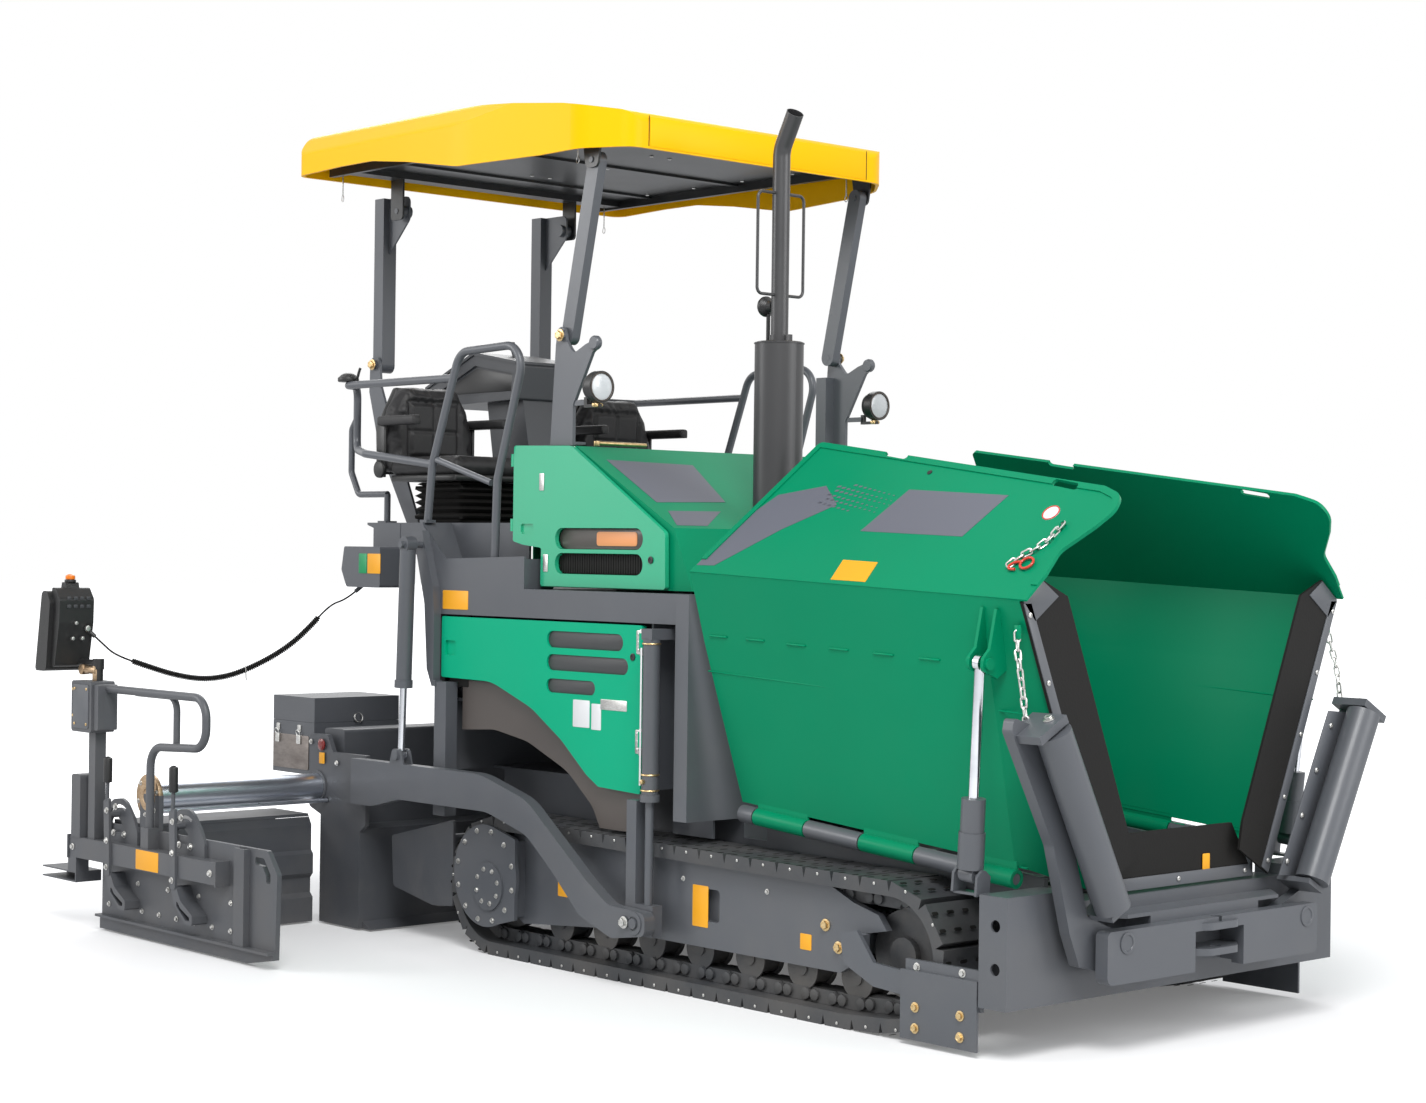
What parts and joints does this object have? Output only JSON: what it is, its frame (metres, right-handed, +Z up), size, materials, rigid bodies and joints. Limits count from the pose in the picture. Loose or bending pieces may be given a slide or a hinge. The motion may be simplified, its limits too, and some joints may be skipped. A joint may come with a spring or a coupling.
{
  "type": "asphalt paver",
  "caption": "Tracked asphalt paver with folding hopper wings, a parallel-folding hard roof, lifting tow arms and a screed whose extensions slide out.",
  "frame": {"origin": "on the ground, in the middle of the machine's length and width", "axes": "+X forward to the push rollers, +Y to the machine's left, +Z up"},
  "size_m": [4.9099, 3.846, 3.4438],
  "materials": {
    "green_paint": "semi-gloss green paint",
    "anthracite_paint": "semi-gloss dark grey paint",
    "yellow_roof": "glossy yellow moulded roof",
    "black_rubber": "matt black rubber",
    "track_rubber": "dusty black rubber shoes",
    "fender_paint": "brownish grey paint",
    "polished_rod": "hard chromed, polished",
    "exhaust_paint": "heat-proof dark grey paint",
    "screed_steel": "dark grey paint, worn sole",
    "seat_cover": "black upholstery",
    "black_plastic": "textured black plastic",
    "cast_grey": "painted casting",
    "auger_steel": "worn casting"
  },
  "bodies": {
    "machine": {"auger_drive": "screed_steel", "bottom_flap": "black_rubber", "console": "black_plastic", "conveyor": "cast_grey", "cord_lead_box": "black_rubber", "cord_lead_panel": "black_rubber", "curly_cord": "black_rubber", "engine_block": "cast_grey", "exhaust": "exhaust_paint", "fenders": "fender_paint", "front_bumper": "anthracite_paint", "handrails": "anthracite_paint", "hood": "green_paint", "lamps": "black_plastic", "levelling_cylinders": "anthracite_paint", "main_frame": "anthracite_paint", "platform": "anthracite_paint", "roof_brackets": "anthracite_paint", "seats": "seat_cover", "track_frames": "anthracite_paint", "track_scrapers": "anthracite_paint", "track_wheels": "cast_grey", "tracks": "track_rubber"},
    "front_posts": {"front_posts": "anthracite_paint"},
    "rear_posts": {"rear_posts": "anthracite_paint"},
    "roof": {"roof": "yellow_roof", "roof_frame": "anthracite_paint"},
    "screed": {"tow_arms": "anthracite_paint", "screed_frame": "screed_steel", "tool_box": "anthracite_paint"},
    "lift_barrels": {"lift_barrels": "anthracite_paint"},
    "lift_rods": {"lift_rods": "polished_rod"},
    "wing_L": {"wing_L": "green_paint", "wing_flap_L": "black_rubber"},
    "wing_barrel_L": {"wing_barrel_L": "anthracite_paint"},
    "wing_rod_L": {"wing_rod_L": "polished_rod"},
    "push_arm_L": {"push_arm_L": "anthracite_paint"},
    "push_roller_L": {"push_roller_L": "anthracite_paint"},
    "upper_door_L": {"upper_door_L": "green_paint"},
    "lower_door_L": {"lower_door_L": "green_paint"},
    "extension_L": {"extension_L": "screed_steel", "extension_tube_L": "polished_rod", "end_plate_L": "screed_steel", "remote_panel_L": "black_plastic"},
    "auger_L": {"auger_L": "auger_steel"},
    "tool_lid_L": {"tool_lid_L": "anthracite_paint"},
    "wing_R": {"wing_R": "green_paint", "wing_flap_R": "black_rubber"},
    "wing_barrel_R": {"wing_barrel_R": "anthracite_paint"},
    "wing_rod_R": {"wing_rod_R": "polished_rod"},
    "push_arm_R": {"push_arm_R": "anthracite_paint"},
    "push_roller_R": {"push_roller_R": "anthracite_paint"},
    "upper_door_R": {"upper_door_R": "green_paint"},
    "lower_door_R": {"lower_door_R": "green_paint"},
    "extension_R": {"extension_R": "screed_steel", "extension_tube_R": "polished_rod", "end_plate_R": "screed_steel", "remote_panel_R": "black_plastic"},
    "auger_R": {"auger_R": "auger_steel"},
    "tool_lid_R": {"tool_lid_R": "anthracite_paint"}
  },
  "joints": [
    {"name": "wing_fold_L", "type": "hinge", "parent": "machine", "child": "wing_L", "pos_m": [0.79, 0.7, 0.67], "axis": [-0.9969, 0, 0.0785], "range_deg": [0, 45]},
    {"name": "wing_cylinder_swing_L", "type": "hinge", "parent": "machine", "child": "wing_barrel_L", "pos_m": [2.06556, 0.88, 0.592], "axis": [-0.9969, 0, 0.0785], "range_deg": [0, 55]},
    {"name": "wing_cylinder_stroke_L", "type": "slide", "parent": "wing_barrel_L", "child": "wing_rod_L", "axis": [-0.0785, -0.036, -0.9963], "range_m": [0, 0.13]},
    {"name": "push_arm_fold_L", "type": "hinge", "parent": "machine", "child": "push_arm_L", "pos_m": [2.307, 0.485, 0.36], "axis": [-1, 0, 0], "range_deg": [0, 62]},
    {"name": "push_roller_spin_L", "type": "hinge", "parent": "push_arm_L", "child": "push_roller_L", "pos_m": [2.395, 0.71035, 0.78382], "axis": [0, 0.4695, 0.8829], "continuous": true},
    {"name": "upper_door_L", "type": "hinge", "parent": "machine", "child": "upper_door_L", "pos_m": [-0.495, 0.792, 1.7], "axis": [0, 0, 1], "range_deg": [0, 80]},
    {"name": "lower_door_L", "type": "hinge", "parent": "machine", "child": "lower_door_L", "pos_m": [0.392, 0.858, 1.1], "axis": [0, 0, -1], "range_deg": [0, 90]},
    {"name": "extension_slide_L", "type": "slide", "parent": "screed", "child": "extension_L", "axis": [0, -1, 0], "range_m": [0, 0.75]},
    {"name": "tool_lid_L", "type": "hinge", "parent": "screed", "child": "tool_lid_L", "pos_m": [-2.158, 0.625, 0.854], "axis": [0, -1, 0], "range_deg": [0, 80]},
    {"name": "auger_spin_L", "type": "hinge", "parent": "machine", "child": "auger_L", "pos_m": [-1.05, 0.45, 0.262], "axis": [0, 1, 0], "continuous": true},
    {"name": "wing_fold_R", "type": "hinge", "parent": "machine", "child": "wing_R", "pos_m": [0.79, -0.7, 0.67], "axis": [0.9969, 0, -0.0785], "range_deg": [0, 45]},
    {"name": "wing_cylinder_swing_R", "type": "hinge", "parent": "machine", "child": "wing_barrel_R", "pos_m": [2.06556, -0.88, 0.592], "axis": [0.9969, 0, -0.0785], "range_deg": [0, 55]},
    {"name": "wing_cylinder_stroke_R", "type": "slide", "parent": "wing_barrel_R", "child": "wing_rod_R", "axis": [-0.0785, 0.036, -0.9963], "range_m": [0, 0.13]},
    {"name": "push_arm_fold_R", "type": "hinge", "parent": "machine", "child": "push_arm_R", "pos_m": [2.307, -0.485, 0.36], "axis": [1, 0, 0], "range_deg": [0, 62]},
    {"name": "push_roller_spin_R", "type": "hinge", "parent": "push_arm_R", "child": "push_roller_R", "pos_m": [2.395, -0.71035, 0.78382], "axis": [0, -0.4695, 0.8829], "continuous": true},
    {"name": "upper_door_R", "type": "hinge", "parent": "machine", "child": "upper_door_R", "pos_m": [-0.495, -0.792, 1.7], "axis": [0, 0, -1], "range_deg": [0, 80]},
    {"name": "lower_door_R", "type": "hinge", "parent": "machine", "child": "lower_door_R", "pos_m": [0.392, -0.858, 1.1], "axis": [0, 0, 1], "range_deg": [0, 90]},
    {"name": "extension_slide_R", "type": "slide", "parent": "screed", "child": "extension_R", "axis": [0, 1, 0], "range_m": [0, 0.75], "deforming": ["cord_lead_panel", "curly_cord", "cord_lead_box"]},
    {"name": "tool_lid_R", "type": "hinge", "parent": "screed", "child": "tool_lid_R", "pos_m": [-2.158, -0.625, 0.854], "axis": [0, -1, 0], "range_deg": [0, 80]},
    {"name": "auger_spin_R", "type": "hinge", "parent": "machine", "child": "auger_R", "pos_m": [-1.05, -0.45, 0.262], "axis": [0, 1, 0], "continuous": true},
    {"name": "screed_lift", "type": "hinge", "parent": "machine", "child": "screed", "pos_m": [0.5, 0, 0.255], "axis": [0, 1, 0], "range_deg": [0, 8], "deforming": ["cord_lead_panel", "curly_cord", "cord_lead_box"]},
    {"name": "lift_cylinder_swing", "type": "hinge", "parent": "machine", "child": "lift_barrels", "pos_m": [-0.99, 0.95, 1.641], "axis": [0, 1, 0], "range_deg": [-10, 2]},
    {"name": "lift_cylinder_stroke", "type": "slide", "parent": "lift_barrels", "child": "lift_rods", "axis": [0.0344, 0, 0.9994], "range_m": [0, 0.25]},
    {"name": "roof_fold", "type": "hinge", "parent": "machine", "child": "front_posts", "pos_m": [-0.22, 0, 2.475], "axis": [0, -1, 0], "range_deg": [0, 90]},
    {"name": "rear_posts_swing", "type": "hinge", "parent": "machine", "child": "rear_posts", "pos_m": [-1.9, 0, 2.45], "axis": [0, -1, 0], "range_deg": [0, 90]},
    {"name": "roof_level", "type": "hinge", "parent": "front_posts", "child": "roof", "pos_m": [-0.067, 0, 3.155], "axis": [0, -1, 0], "range_deg": [-90, 0]}
  ],
  "couplings": [
    {"joint": "wing_cylinder_swing_L", "follows": "wing_fold_L", "ratio": 1.1604},
    {"joint": "wing_cylinder_stroke_L", "follows": "wing_fold_L", "m_per_rad": 0.14459},
    {"joint": "wing_cylinder_swing_R", "follows": "wing_fold_R", "ratio": 1.1604},
    {"joint": "wing_cylinder_stroke_R", "follows": "wing_fold_R", "m_per_rad": 0.14459},
    {"joint": "lift_cylinder_swing", "follows": "screed_lift", "ratio": -0.85375},
    {"joint": "lift_cylinder_stroke", "follows": "screed_lift", "m_per_rad": 1.4657},
    {"joint": "rear_posts_swing", "follows": "roof_fold", "ratio": 1},
    {"joint": "roof_level", "follows": "roof_fold", "ratio": -1}
  ]
}
